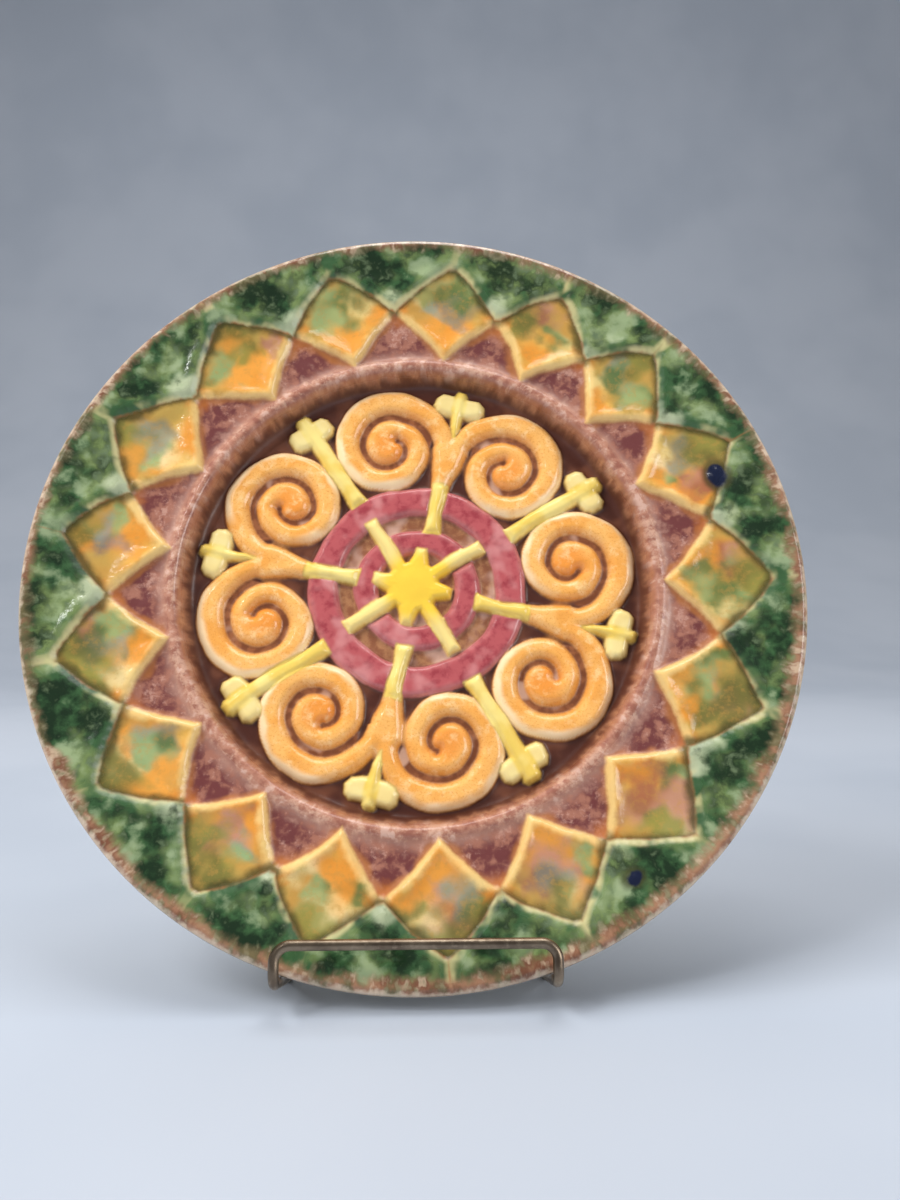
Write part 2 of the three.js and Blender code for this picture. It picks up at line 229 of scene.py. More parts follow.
# Plate, its body: earthenware pressed in a mould, dished, with a rolled lip and a foot ring behind.
# Radii and heights are in the plate's own millimetres, from the middle of the front to the rim,
# then down the back. It leans on the uprights, and the wire's lip keeps it from sliding.
PLATE_RADIUS = 140
LIP_RADIUS = 134
SHOULDER_RADIUS = 92
WELL_FLOOR = -17
FRONT = np.array([
    (0, -17), (81.5, -17), (83.7, -15.8), (85.8, -9.5), (86.8, -7.5), (88.4, -7), (90.4, -7.5),
    (92, -8.7), (110.7, -7.5), (131, -4.4), (134, -1.3), (137.4, 0), (139.5, -1.1), (140, -3.3),
])
BACK = np.array([
    (139.7, -4.6), (139.1, -5.6), (138, -6.3), (136.4, -6.6), (124, -9.4), (110.7, -12.6), (98, -16.8),
    (84.4, -21.4), (78, -23.4), (73.4, -24.5), (71.6, -25.2), (70.6, -27), (70, -29.3), (69.6, -30.1),
    (68.8, -30.5), (65.2, -30.5), (64.4, -30.1), (64, -29.3), (63.4, -27), (62.4, -25.4), (60, -25),
    (40, -25), (20, -25), (0, -25),
])
FRONT_SOFTNESS = 1.1
SOFT_UP_TO = 138.6
FRONT_CLOSE = 0.15
PROFILE_SAMPLES = 5601
SPIN_STEPS = 160
SEAM_CLOSE = 0.002
SAME_RING = 0.02
FINER_FROM = (23, 46)
RELIEF_SPACING = 0.74
BORDER_SPACING = 0.78
LIP_SPACING = 0.62


def turned_front(radius):
    """Height of the turned front, with the corners of its drawing softened, but for the rim's own."""
    softness = FRONT_SOFTNESS * np.clip((SOFT_UP_TO - radius) / 3, 0.05, 1)
    near = [np.interp(radius + shift * softness, *FRONT.T) for shift in np.linspace(-1, 1, 9)]
    return np.mean(near, axis=0)


radii = np.linspace(0, PLATE_RADIUS, PROFILE_SAMPLES)
travel = np.hypot(np.diff(radii), np.diff(turned_front(radii)))
zones = [radii[1:] < SHOULDER_RADIUS, radii[1:] < LIP_RADIUS]
spacing = np.select(zones, [RELIEF_SPACING, BORDER_SPACING], LIP_SPACING)
rings = np.concatenate(([0], np.cumsum(travel / spacing)))
ring_radii = np.interp(np.linspace(0, rings[-1], int(rings[-1]) + 1), rings, radii)
profile = [Vector((radius, 0, turned_front(radius))) for radius in ring_radii]
profile += [Vector((radius, 0, height)) for radius, height in BACK]
plate = drawn_line("plate_glazed", profile)
bpy.ops.object.mode_set(mode="EDIT")
bpy.ops.mesh.select_all(action="SELECT")
bpy.ops.mesh.spin(steps=SPIN_STEPS, angle=2 * math.pi, center=(0, 0, 0), axis=(0, 0, 1))
bpy.ops.mesh.select_all(action="SELECT")
bpy.ops.mesh.remove_doubles(threshold=SEAM_CLOSE)
bpy.ops.mesh.select_all(action="SELECT")
bpy.ops.mesh.normals_make_consistent(inside=False)
bpy.ops.object.mode_set(mode="OBJECT")


def corners_of(mesh):
    """The mesh's points, in rows."""
    flat = np.empty(len(mesh.vertices) * 3)
    mesh.vertices.foreach_get("co", flat)
    return flat.reshape(-1, 3)


for finer in FINER_FROM:
    points = corners_of(plate.data)
    radius = np.hypot(points[:, 0], points[:, 1])
    in_front = np.abs(points[:, 2] - turned_front(radius)) < FRONT_CLOSE
    pairs = np.empty(len(plate.data.edges) * 2, int)
    plate.data.edges.foreach_get("vertices", pairs)
    one, other = pairs.reshape(-1, 2).T
    round_it = (np.abs(radius[one] - radius[other]) < SAME_RING) & in_front[one] & in_front[other]
    round_it &= radius[one] > finer
    bpy.ops.object.mode_set(mode="EDIT")
    bpy.ops.mesh.select_mode(type="EDGE")
    bpy.ops.mesh.select_all(action="DESELECT")
    bpy.ops.object.mode_set(mode="OBJECT")
    plate.data.edges.foreach_set("select", round_it)
    bpy.ops.object.mode_set(mode="EDIT")
    bpy.ops.mesh.subdivide(number_cuts=1)
    bpy.ops.object.mode_set(mode="OBJECT")

points = corners_of(plate.data)
across, up, height = points.T
radius = np.hypot(across, up)
clock = np.degrees(np.arctan2(across, up)) % 360
in_front = np.abs(height - turned_front(radius)) < FRONT_CLOSE


# Plate, its border: seventeen lozenge tiles on a sunk ground, with leaves lapping over them from the lip.
# They were laid by eye, so each tile has its own clock angle. Distances inside an edge are positive.
TILE_ANGLES = (
    6.3, 26.1, 45, 65.2, 89.5, 111.6, 134.1, 155.7, 175.5,
    196.2, 214.2, 235.8, 256.9, 278.1, 298.8, 323.5, 344.7,
)
TILE_INNER, TILE_SIDE, TILE_OUTER = 90.5, 110.7, 129.5
TILE_BULGE, TILE_PINCH = 1.3, 1
TILE_TOPS = ((90.5, 110.7, 129.5), (-6.4, -5.6, -3.6))
TILE_RIDGE, TILE_DISH, TILE_SINK = 0.6, 1, 0.4
LEAF_TOPS = ((112, 137.4), (-4.3, -0.5))
LEAF_RIDGE, LEAF_DISH = 0.3, 0.8
LEAF_SEAM, TIP_LAP = 0.1, 0.5
BORDER_FROM, BORDER_TO = 88, 136
SLOW_GIVE, QUICK_GIVE = 0.3, 0.16
OUTSIDE = -9.0
FAR_FROM_JUNCTION = 90.0


def on_clock(at, degrees):
    """A point of the plate at a radius and a clock angle."""
    return np.array((at * math.sin(math.radians(degrees)), at * math.cos(math.radians(degrees))))


def left_of(start, end):
    """How far each point lies to the left of a line."""
    way = (end - start) / np.linalg.norm(end - start)
    return way[0] * (pressed_up - start[1]) - way[1] * (pressed_across - start[0])


def bowed(start, end, bow):
    """How far each point lies to the left of an edge that bows to its right in the middle."""
    way = (end - start) / np.sum((end - start) ** 2)
    share = np.clip(way[0] * (pressed_across - start[0]) + way[1] * (pressed_up - start[1]), 0, 1)
    return left_of(start, end) + bow * 4 * share * (1 - share)


def eased(value, none, full):
    """A soft step from 0 to 1."""
    share = np.clip((value - none) / (full - none), 0, 1)
    return share * share * (3 - 2 * share)


# The clay gave a little under the press, so no edge runs quite true
pressed_across = across + SLOW_GIVE * np.sin(up * 0.17 + 1.1)
pressed_across += QUICK_GIVE * np.sin(up * 0.43 + across * 0.21)
pressed_up = up + SLOW_GIVE * np.sin(across * 0.19 + 2.3)
pressed_up += QUICK_GIVE * np.sin(across * 0.39 - up * 0.23)
pressed_clock = np.degrees(np.arctan2(pressed_across, pressed_up)) % 360

inner_edge = np.full(radius.shape, OUTSIDE)
outer_edge = np.full(radius.shape, OUTSIDE)
junction = np.full(radius.shape, FAR_FROM_JUNCTION)
tile_side = np.zeros(radius.shape)
tile_out = np.zeros(radius.shape)
tile_number = np.zeros(radius.shape, int)
count = len(TILE_ANGLES)
for number, angle in enumerate(TILE_ANGLES):
    before = angle - (angle - TILE_ANGLES[number - 1]) % 360 / 2
    after = angle + (TILE_ANGLES[(number + 1) % count] - angle) % 360 / 2
    here = (pressed_clock - before) % 360 < after - before
    tip_in, tip_out = on_clock(TILE_INNER, angle), on_clock(TILE_OUTER, angle)
    right, left = on_clock(TILE_SIDE, after), on_clock(TILE_SIDE, before)
    inner_sides = bowed(tip_in, right, -TILE_PINCH), bowed(left, tip_in, -TILE_PINCH)
    outer_sides = bowed(right, tip_out, TILE_BULGE), bowed(tip_out, left, TILE_BULGE)
    inner_edge[here] = np.minimum(*inner_sides)[here]
    outer_edge[here] = np.minimum(*outer_sides)[here]
    junction = np.minimum(junction, np.hypot(pressed_across - right[0], pressed_up - right[1]))
    turn = np.radians(pressed_clock - angle)
    tile_side[here] = (radius * np.sin(turn))[here]
    tile_out[here] = (radius * np.cos(turn) - TILE_SIDE)[here]
    tile_number[here] = number
tile_edge = np.minimum(inner_edge, outer_edge)
leaf_edge = -outer_edge
beyond_tip = tile_out > TILE_OUTER - TILE_SIDE - TIP_LAP
leaf_edge[beyond_tip] = np.minimum(leaf_edge, np.abs(tile_side) - LEAF_SEAM)[beyond_tip]

moulded = turned_front(radius)
tile_top = np.interp(radius, *TILE_TOPS)
tile_top += TILE_RIDGE * np.exp(-((inner_edge - 2) / 1.6) ** 2) - TILE_DISH * eased(tile_edge, 1.8, 10)
bordered = (radius > BORDER_FROM) & (radius < BORDER_TO)
tile_press = eased(tile_edge, -1.2, 1.6) * bordered
moulded += (np.maximum(tile_top, moulded - TILE_SINK) - moulded) * tile_press
leaf_top = np.interp(radius, *LEAF_TOPS)
leaf_top += LEAF_RIDGE * np.exp(-((leaf_edge - 2.4) / 2.2) ** 2)
leaf_top -= LEAF_DISH * eased(leaf_edge, 2.2, 9) * eased(radius, 133, 126)
leaf_press = eased(leaf_edge, -1.2, 2.0) * eased(radius, 137.2, 133.5) * (radius > 105)
moulded += (leaf_top - moulded) * leaf_press


# Plate, its ornament: four forked stems with two volutes each, bars and spikes with lobed heads between
# them, two broken rings and a star in the middle. All of it was pressed with the body, and rises 3 to 4
# millimetres from the well with rounded edges. Outlines are [side, out] from the axis they stand on.
STEM_ANGLES = (12.6, 103.5, 192, 280.8)
VOLUTE_ANGLES = (12.6, 103.5, 193.5, 280.8)
BAR_ANGLES = (58.5, 149.6, 236.7, 326.7)
VOLUTE_SIDE, VOLUTE_OUT = 22.9, 53
VOLUTE_CROWN, VOLUTE_EYE = 24.6, 3.5
VOLUTE_QUARTERS, VOLUTE_CLOSING = 7.7, 1.25
GROOVE_END_RADIUS = 1.3
BAND_WIDTH, BAND_TAPER, FORK_TAPER, FORK_BLEND = 9.6, 0.62, 3.4, 2.5
STEM = [(2.9, 39.5), (3.8, 45), (5.6, 51), (6.4, 56.5), (3.2, 60.5)]
COLLAR = [(3.2, 22), (2.2, 31), (2.9, 42)]
SPIKE = [(0, 61), (1.6, 66), (2.2, 74), (2.2, 81), (1.4, 82.2)]
SPIKE_LOBES = [(4.4, 71.3), (7.8, 72.4), (9.5, 74.8), (9, 78), (7.2, 79.8)]
BAR = [(3.2, 39.5), (2.8, 46), (2.8, 64), (3.2, 80.6), (2, 82)]
BAR_LOBES = [(3.6, 70), (7, 70.6), (8.7, 72.6), (8.6, 76.8), (7, 78.8)]
STAR_RAY = [(2.7, 0), (2.4, 29.5)]
STAR_POINT = [(4.6, 0), (3.6, 9), (1.8, 14.6)]
STAR_SHIFT = (-1.5, 1)
STAR_BODY = 9.8
OUTER_RING, INNER_RING = (29.5, 40), (14.5, 23)
RING_GAP = 2
WELL_RADIUS = 84
FAR_FROM_EYE = 30.0
DRAIN_WAY = (-0.6, -0.8)
SCROLL_RISE, BAR_RISE, LOBE_RISE, RING_RISE, STAR_RISE, COIL_RISE = 3.6, 3.9, 3.4, 2.8, 4.0, 0.9
SCROLL_ROUND, BAR_ROUND, SMALL_ROUND, COIL_ROUND = 4.4, 3.4, 3.2, 2.2
COIL_INSET, STAR_CROWN = 0.6, 0.5
SOFT_FOOT = 1.2
UNEVEN_UP_TO = 138


def along_axis(degrees, shift=(0, 0)):
    """Each point's place beside and along an axis at a clock angle."""
    sine, cosine = math.sin(math.radians(degrees)), math.cos(math.radians(degrees))
    x, y = pressed_across - shift[0], pressed_up - shift[1]
    return x * cosine - y * sine, x * sine + y * cosine


def inside_of(side, out, half):
    """How far each point lies inside an outline that is the mirror image of its half."""
    outline = half + [(-x, y) for x, y in reversed(half) if x]
    nearest = np.full(side.shape, np.inf)
    within = np.zeros(side.shape, bool)
    for (ax, ay), (bx, by) in zip(outline, outline[1:] + outline[:1]):
        share = ((side - ax) * (bx - ax) + (out - ay) * (by - ay)) / ((bx - ax) ** 2 + (by - ay) ** 2)
        share = np.clip(share, 0, 1)
        nearest = np.minimum(nearest, np.hypot(side - ax - share * (bx - ax), out - ay - share * (by - ay)))
        if ay != by:
            within ^= ((ay > out) != (by > out)) & (side < ax + (out - ay) * (bx - ax) / (by - ay))
    return np.where(within, nearest, -nearest)


def volute_edge(quarters):
    """Radius of a volute's edge, by quarter turns from its crown."""
    left_over = np.clip(1 - quarters / VOLUTE_QUARTERS, 0, 1) ** VOLUTE_CLOSING
    return np.where(quarters < 0, VOLUTE_CROWN, VOLUTE_EYE + (VOLUTE_CROWN - VOLUTE_EYE) * left_over)


def band_inside(quarters):
    """Radius of the inner edge of a volute's band."""
    taper = np.where(quarters < 0, FORK_TAPER * quarters, -BAND_TAPER * quarters)
    return volute_edge(quarters) - BAND_WIDTH - taper


def volute(degrees, hand):
    """Depth inside a volute's band, depth inside the whole volute, and where its rim is free."""
    side, out = along_axis(degrees)
    beside, above = hand * side - VOLUTE_SIDE, out - VOLUTE_OUT
    reach = np.hypot(beside, above)
    first = np.arctan2(beside, above) / (math.pi / 2)
    band = np.full(reach.shape, OUTSIDE)
    whole = np.full(reach.shape, OUTSIDE)
    free = np.zeros(reach.shape)
    groove_end = VOLUTE_QUARTERS - 4
    end_reach = (VOLUTE_EYE + float(band_inside(groove_end))) / 2
    end_turn = groove_end * math.pi / 2
    end_beside, end_above = end_reach * math.sin(end_turn), end_reach * math.cos(end_turn)
    end_gap = np.hypot(beside - end_beside, above - end_above) - GROOVE_END_RADIUS
    for turn in range(3):
        quarters = first + 4 * turn
        on_band = (quarters >= -1) & (quarters <= groove_end)
        depth = np.minimum(volute_edge(quarters) - reach, reach - band_inside(quarters))
        band = np.where(on_band, np.maximum(band, depth), band)
        in_eye = (quarters > groove_end) & (quarters <= VOLUTE_QUARTERS)
        eye = np.minimum(volute_edge(quarters) - reach, end_gap)
        band = np.where(in_eye, np.maximum(band, eye), band)
        outermost = (quarters >= -1) & (quarters < 3)
        in_fork = (VOLUTE_CROWN - volute_edge(3)) * eased(-quarters, 0.2, 1)
        whole = np.where(outermost, volute_edge(quarters) - in_fork - reach, whole)
        free = np.where(outermost, eased(quarters, -0.4, -0.1) * eased(quarters, 3, 2.2), free)
    return band, whole, free * eased(whole, -0.5, 0.3) * eased(whole, 4.5, 2)


def merged(first, second, softness):
    """The outer of two outlines, run together where they meet."""
    near = np.maximum(softness - np.abs(first - second), 0) / softness
    return np.maximum(first, second) + near * near * softness / 4


scroll = np.full(radius.shape, OUTSIDE)
coil = np.full(radius.shape, OUTSIDE)
bar = np.full(radius.shape, OUTSIDE)
lobe = np.full(radius.shape, OUTSIDE)
ring = np.full(radius.shape, OUTSIDE)
eye_reach = np.full(radius.shape, FAR_FROM_EYE)
drained = np.zeros(radius.shape)
rim = np.zeros(radius.shape)
for degrees in STEM_ANGLES:
    side, out = along_axis(degrees)
    scroll = np.maximum(scroll, inside_of(side, out, STEM))
    bar = np.maximum.reduce([bar, inside_of(side, out, COLLAR), inside_of(side, out, SPIKE)])
    lobe = np.maximum(lobe, inside_of(side, out, SPIKE_LOBES))
for degrees in VOLUTE_ANGLES:
    for hand in (1, -1):
        band, whole, free_rim = volute(degrees, hand)
        scroll, coil = merged(scroll, band, FORK_BLEND), np.maximum(coil, whole)
        rim = np.maximum(rim, free_rim)
        eye = on_clock(VOLUTE_OUT, degrees) + hand * on_clock(VOLUTE_SIDE, degrees + 90)
        reach = np.hypot(across - eye[0], up - eye[1])
        downhill = DRAIN_WAY[0] * (across - eye[0]) + DRAIN_WAY[1] * (up - eye[1])
        drained = np.where(reach < eye_reach, downhill / np.maximum(reach, 1), drained)
        eye_reach = np.minimum(eye_reach, reach)
for degrees in BAR_ANGLES:
    bar = np.maximum(bar, inside_of(*along_axis(degrees), BAR))
    lobe = np.maximum(lobe, inside_of(*along_axis(degrees), BAR_LOBES))
for (low, high), breaks in ((OUTER_RING, STEM_ANGLES), (INNER_RING, BAR_ANGLES)):
    reach = np.hypot(pressed_across, pressed_up)
    arc = np.minimum(high - reach, reach - low)
    for degrees in breaks:
        side, out = along_axis(degrees)
        arc = np.where(out > 0, np.minimum(arc, np.abs(side) - RING_GAP), arc)
    ring = np.maximum(ring, arc)
star_reach = np.hypot(pressed_across - STAR_SHIFT[0], pressed_up - STAR_SHIFT[1])
star = STAR_BODY - star_reach
for degrees in BAR_ANGLES:
    star = np.maximum(star, inside_of(*along_axis(degrees, STAR_SHIFT), STAR_RAY))
for degrees in STEM_ANGLES:
    star = np.maximum(star, inside_of(*along_axis(degrees, STAR_SHIFT), STAR_POINT))


# Two drops of another glaze that fell on the border: clock angle, radius, size and how drawn out they are
DROPS = ((70.0, 119.2, 3.4, 1.5), (145.2, 126.5, 2.4, 1.2))
DROP_RISE = 1.1


def rounded(depth, width):
    """The rounded rise of a moulded edge, with a soft foot."""
    share = np.clip((depth + SOFT_FOOT) / width, 0, 1)
    return np.sin(share * math.pi / 2) * eased(depth, -1.3, 0.2)


raised = np.maximum.reduce([
    SCROLL_RISE * rounded(scroll, SCROLL_ROUND),
    COIL_RISE * rounded(coil - COIL_INSET, COIL_ROUND),
    BAR_RISE * rounded(bar, BAR_ROUND),
    LOBE_RISE * rounded(lobe, SMALL_ROUND),
    RING_RISE * rounded(ring, SMALL_ROUND),
    STAR_RISE * rounded(star, SMALL_ROUND) + STAR_CROWN * eased(star, 2, 8),
])
in_well = radius < WELL_RADIUS
moulded = np.where(in_well, np.maximum(moulded, WELL_FLOOR + raised), moulded)
drop_depth = np.full(radius.shape, OUTSIDE)
for degrees, at, size, length in DROPS:
    side, out = along_axis(degrees)
    depth = size - np.hypot(side / length, out - at)
    drop_depth = np.maximum(drop_depth, np.where(out > 0, depth, OUTSIDE))
moulded += DROP_RISE * eased(drop_depth, -0.6, 2.6)
uneven = 0.07 * np.sin(across * 0.31 + 1.7 * np.sin(up * 0.23))
uneven += 0.06 * np.sin(up * 0.47 + 1.3 * np.sin(across * 0.19))
points[in_front, 2] = (moulded + uneven * (radius < UNEVEN_UP_TO))[in_front]
plate.data.vertices.foreach_set("co", points.ravel())


# Plate, its glaze: opaque majolica colours painted on in dabs and left to run, thin and pale over the
# edges and pooled dark in the grooves, under one glossy skin. Painted shade darkens the well floor, the
# foot of the well's wall, the volutes' bands beside the grooves, the sides of the bars and the star, and
# the tiles where the leaves lap over them. The mesh carries each point's distance inside every edge, and
# the glaze follows those distances with a little wandering.
SUNK_DULLNESS = 0.24
FRONT_SKIN_DEPTH, BACK_SKIN_DEPTH = 0.0004, 0.0003
SLOW_SMEAR, QUICK_SMEAR = 2.4, 1.2
DAB_SPREAD = 3.4
SPOKE_CIRCLE, SPOKE_SHORTENED = 100, 0.45
GREEN_DABS = (
    (0, 4, 11, 5), (1, 5, 2, 3), (2, -4, 0, 4), (2, 5, 0, 4), (3, 4, -6, 2), (4, -1, -9, 4),
    (4, 5, -3, 6), (5, -1, -4, 4), (5, -12, -3, 3), (6, -13, 1, 3), (7, -12, 2, 3), (9, 3, 1, 3),
    (9, -14, -1, 3), (10, -4, 0, 3), (11, 1, -2, 4), (12, 10, -4, 5), (13, 10, 0, 3),
    (14, -5, -2, 3), (15, -10, 3, 4), (16, -4, 2, 5), (16, -3, 10, 5),
)
OLIVE_DABS = (
    (0, -7, 8, 4), (1, -11, 1, 4), (2, -3, 13, 5), (3, -2, 11, 6), (4, 3, 11, 6), (5, -4, 12, 6),
    (5, 6, 4, 5), (6, 6, 9, 4), (7, 2, 11, 4), (8, -13, 4, 5), (8, 12, 4, 3), (8, 0, 12, 5),
    (9, -2, 13, 5), (10, 10, 4, 4), (10, -2, 12, 5), (11, 0, 12, 5), (12, 0, 11, 6), (12, -9, 7, 5),
    (13, 1, 15, 5), (14, -2, 13, 5), (15, 2, 2, 3), (15, 4, 13, 5), (15, -5, 6, 3), (16, 9, 11, 4),
)
SLATE_DABS = (
    (0, -4, 1, 3), (0, 4, 1, 4), (2, -6, 3, 4), (3, -3, 0, 4), (8, -7, -1, 4), (10, -4, -1, 3),
    (11, 4, -5, 4), (12, 1, 3, 4), (12, 2, -2, 3), (13, 0, 4, 4), (14, 3, 3, 4), (7, 1, 2, 3),
)
MAUVE_DABS = (
    (1, -3, 8, 4), (3, 9, 1, 3), (4, -9, 3, 4), (5, 1, 7, 5), (6, 1, 0, 6), (6, -8, 5, 5),
    (6, -4, 10, 4), (7, 0, 0, 6), (10, 3, -2, 5), (12, 8, 6, 4), (13, 0, 3, 4), (15, 13, 1, 3),
    (8, -3, 6, 5),
)
ORANGE_DABS = (
    (0, 3, -7, 6), (1, 1, -8, 4), (2, 0, -14, 4), (3, 12, -2, 5), (4, -8, -2, 5), (5, 6, -9, 5),
    (6, -3, -9, 5), (7, -12, 9, 4), (8, 5, -5, 6), (9, -6, -7, 6), (10, -3, -11, 5), (11, -9, 3, 6),
    (11, 9, 2, 4), (12, -2, -10, 5), (13, 5, -7, 5), (13, -4, 11, 4), (14, 8, -12, 5),
    (14, -8, 10, 5), (15, 1, -5, 5), (15, -3, 9, 5), (16, 0, -8, 4), (16, 14, -5, 4),
)
PALE_DABS = (
    (0, -8, 9, 4), (1, 10, -2, 4), (2, -8, -8, 4), (3, -6, -9, 4), (4, 13, 5, 4), (6, 1, 15, 4),
    (7, 0, 9, 4), (8, 5, 6, 5), (9, -5, 4, 5), (9, 8, -6, 4), (11, 2, 6, 4), (12, -9, -6, 5),
    (14, 2, -5, 5), (16, 9, 5, 4),
)

# The brush smeared its dabs, so each point looks for them a little aside of where they were set
smeared_aside = SLOW_SMEAR * np.sin(0.33 * up + 2 * np.sin(0.21 * across))
smeared_aside += QUICK_SMEAR * np.sin(0.71 * across - 0.45 * up)
smeared_out = SLOW_SMEAR * np.sin(0.31 * across + 2 * np.sin(0.19 * up) + 1)
smeared_out += QUICK_SMEAR * np.sin(0.67 * up + 0.49 * across)


def dabbed(dabs):
    """How thickly a colour lies on the tiles after its dabs: tile number, side, out and size."""
    thick = np.zeros(radius.shape)
    for number, side, out, size in dabs:
        away = (tile_side + smeared_aside - side) ** 2 + (tile_out + smeared_out - out) ** 2
        thick = np.maximum(thick, np.exp(-away / (DAB_SPREAD * size * size)) * (tile_number == number))
    return thick


# Bare lip: wide on the right and at the foot, narrow on the left and at the top. Each wide stretch has
# its extra width, its clock angle and the degrees over which it tapers off.
LIP_BARE_FROM = 136.8
LIP_WIDER = ((2.4, 120, 50), (1.8, 205, 45))
lip_start = np.full(radius.shape, LIP_BARE_FROM)
for wider, degrees, spread in LIP_WIDER:
    lip_start -= wider * np.exp(-((clock - degrees) / spread) ** 2)

# Each point's place on one circle, with its radius shortened, so that streaks run out from the middle
off_middle = np.maximum(radius, 1) / SPOKE_CIRCLE
spokes = np.stack([across / off_middle, up / off_middle, radius * SPOKE_SHORTENED], 1)

# Sunk ground, and the leaves' edges, are duller than what stands proud
dull_edge = 0.8 * np.exp(-((leaf_edge - 1) / 2.8) ** 2) * bordered
on_shoulder = eased(radius, 84.5, 86) * eased(radius, 91, 89)
sunk = 1 - np.maximum.reduce([
    eased(raised, 0.4, 2.2) * in_well, on_shoulder, tile_press, leaf_press, eased(radius, 128, 133),
])
sunk = np.maximum(sunk, dull_edge)
carried = {
    "scroll": scroll, "coil": coil, "bar": np.maximum(bar, lobe), "ridge": bar, "ring": ring, "star": star,
    "inner_edge": inner_edge, "outer_edge": outer_edge, "leaf_edge": leaf_edge, "junction": junction,
    "lip_over": radius - lip_start, "reach": radius, "eye_reach": eye_reach, "drained": drained,
    "rim": rim, "drop": drop_depth, "sunk": sunk,
    "green_dab": dabbed(GREEN_DABS), "olive_dab": dabbed(OLIVE_DABS), "slate_dab": dabbed(SLATE_DABS),
    "mauve_dab": dabbed(MAUVE_DABS), "orange_dab": dabbed(ORANGE_DABS), "pale_dab": dabbed(PALE_DABS),
}
for name, values in carried.items():
    plate.data.attributes.new(name, "FLOAT", "POINT").data.foreach_set("value", np.float32(values))
for name, values in (("place", np.stack([across, up, height * 0], 1)), ("spokes", spokes)):
    vectors = plate.data.attributes.new(name, "FLOAT_VECTOR", "POINT").data
    vectors.foreach_set("vector", np.float32(values).ravel())

# The skin that all the glazes share: slow ripples, pin holes and an uneven gloss
glaze_skin = bpy.data.node_groups.new("glaze_skin", "ShaderNodeTree")
glaze_skin.interface.new_socket("Place", in_out="INPUT", socket_type="NodeSocketVector")
glaze_skin.interface.new_socket("Height", in_out="OUTPUT", socket_type="NodeSocketFloat")
glaze_skin.interface.new_socket("Roughness", in_out="OUTPUT", socket_type="NodeSocketFloat")
skin_in = glaze_skin.nodes.new("NodeGroupInput").outputs["Place"]
skin_out = glaze_skin.nodes.new("NodeGroupOutput")
ripple = cloud(glaze_skin, skin_in, 0.22, 2, 0.4)
grain = cloud(glaze_skin, skin_in, 1.1, 2, 0.5)
pin_holes = fade(glaze_skin, cloud(glaze_skin, skin_in, 0.9, 1, 0.3), 0.24, 0.2)
skin_height = worked(glaze_skin, "ADD", ripple, worked(glaze_skin, "MULTIPLY", grain, 0.16))
skin_height = worked(glaze_skin, "SUBTRACT", skin_height, worked(glaze_skin, "MULTIPLY", pin_holes, 0.2))
feed(glaze_skin, skin_out.inputs["Height"], skin_height)
gloss = glaze_skin.nodes.new("ShaderNodeMapRange")
feed(glaze_skin, gloss.inputs["Value"], cloud(glaze_skin, skin_in, 0.12, 3, 0.6))
for name, given in (("From Min", 0.3), ("From Max", 0.7), ("To Min", 0.09), ("To Max", 0.24)):
    gloss.inputs[name].default_value = given
feed(glaze_skin, skin_out.inputs["Roughness"], gloss.outputs[0])


def skinned(tree, shader, place, depth):
    """Puts the shared glaze skin on a shader, and gives the skin's roughness."""
    skin = tree.nodes.new("ShaderNodeGroup")
    skin.node_tree = glaze_skin
    feed(tree, skin.inputs["Place"], place)
    bump = tree.nodes.new("ShaderNodeBump")
    bump.inputs["Strength"].default_value = 0.6
    bump.inputs["Distance"].default_value = depth
    feed(tree, bump.inputs["Height"], skin.outputs["Height"])
    feed(tree, shader.inputs["Normal"], bump.outputs[0])
    feed(tree, shader.inputs["Roughness"], skin.outputs["Roughness"])
    return skin.outputs["Roughness"]


painted_glaze, tree, shader = finish_named("painted_glaze")


def carried_by(name):
    """What the mesh carries under a name."""
    node = tree.nodes.new("ShaderNodeAttribute")
    node.attribute_name = name
    return node.outputs["Vector"] if name in ("place", "spokes") else node.outputs["Fac"]


def moved(place, by):
    """The same place read elsewhere, so that two clouds don't share their patches."""
    node = tree.nodes.new("ShaderNodeVectorMath")
    feed(tree, node.inputs[0], place)
    node.inputs[1].default_value = by
    return node.outputs[0]


def wandering(value, noise, by):
    """A distance that a cloud pushes to and fro."""
    return worked(tree, "ADD", value, worked(tree, "MULTIPLY", worked(tree, "SUBTRACT", noise, 0.5), by))


def both(first, second):
    """Where two masks lie on each other."""
    return worked(tree, "MULTIPLY", first, second)


def washed(under, code, value, none, full, strength=None):
    """A colour washed over another as a value goes from none to full."""
    mask = fade(tree, value, none, full)
    return laid(tree, under, tint(code), both(mask, strength) if strength else mask)


place, spoke = carried_by("place"), carried_by("spokes")
reach = carried_by("reach")
broad = cloud(tree, place, 0.05, 2, 0.5)
patchy = cloud(tree, moved(place, (31, 7, 4)), 0.1, 2, 0.45)
blotchy = cloud(tree, moved(place, (-11, 43, 9)), 0.085, 2, 0.45)
mottled = cloud(tree, moved(place, (5, -17, 21)), 0.27, 3, 0.55, 0.2)
speckled = cloud(tree, place, 1.2, 3, 0.7)
clouded = cloud(tree, moved(place, (17, -29, 3)), 0.2, 1, 0.4)
sponged = cloud(tree, moved(place, (-7, 3, 13)), 0.5, 3, 0.6)
brushed = cloud(tree, spoke, 0.26, 1.5, 0.5, 0.2)
streaked = cloud(tree, moved(spoke, (13, 3, 7)), 0.55, 2, 0.5)
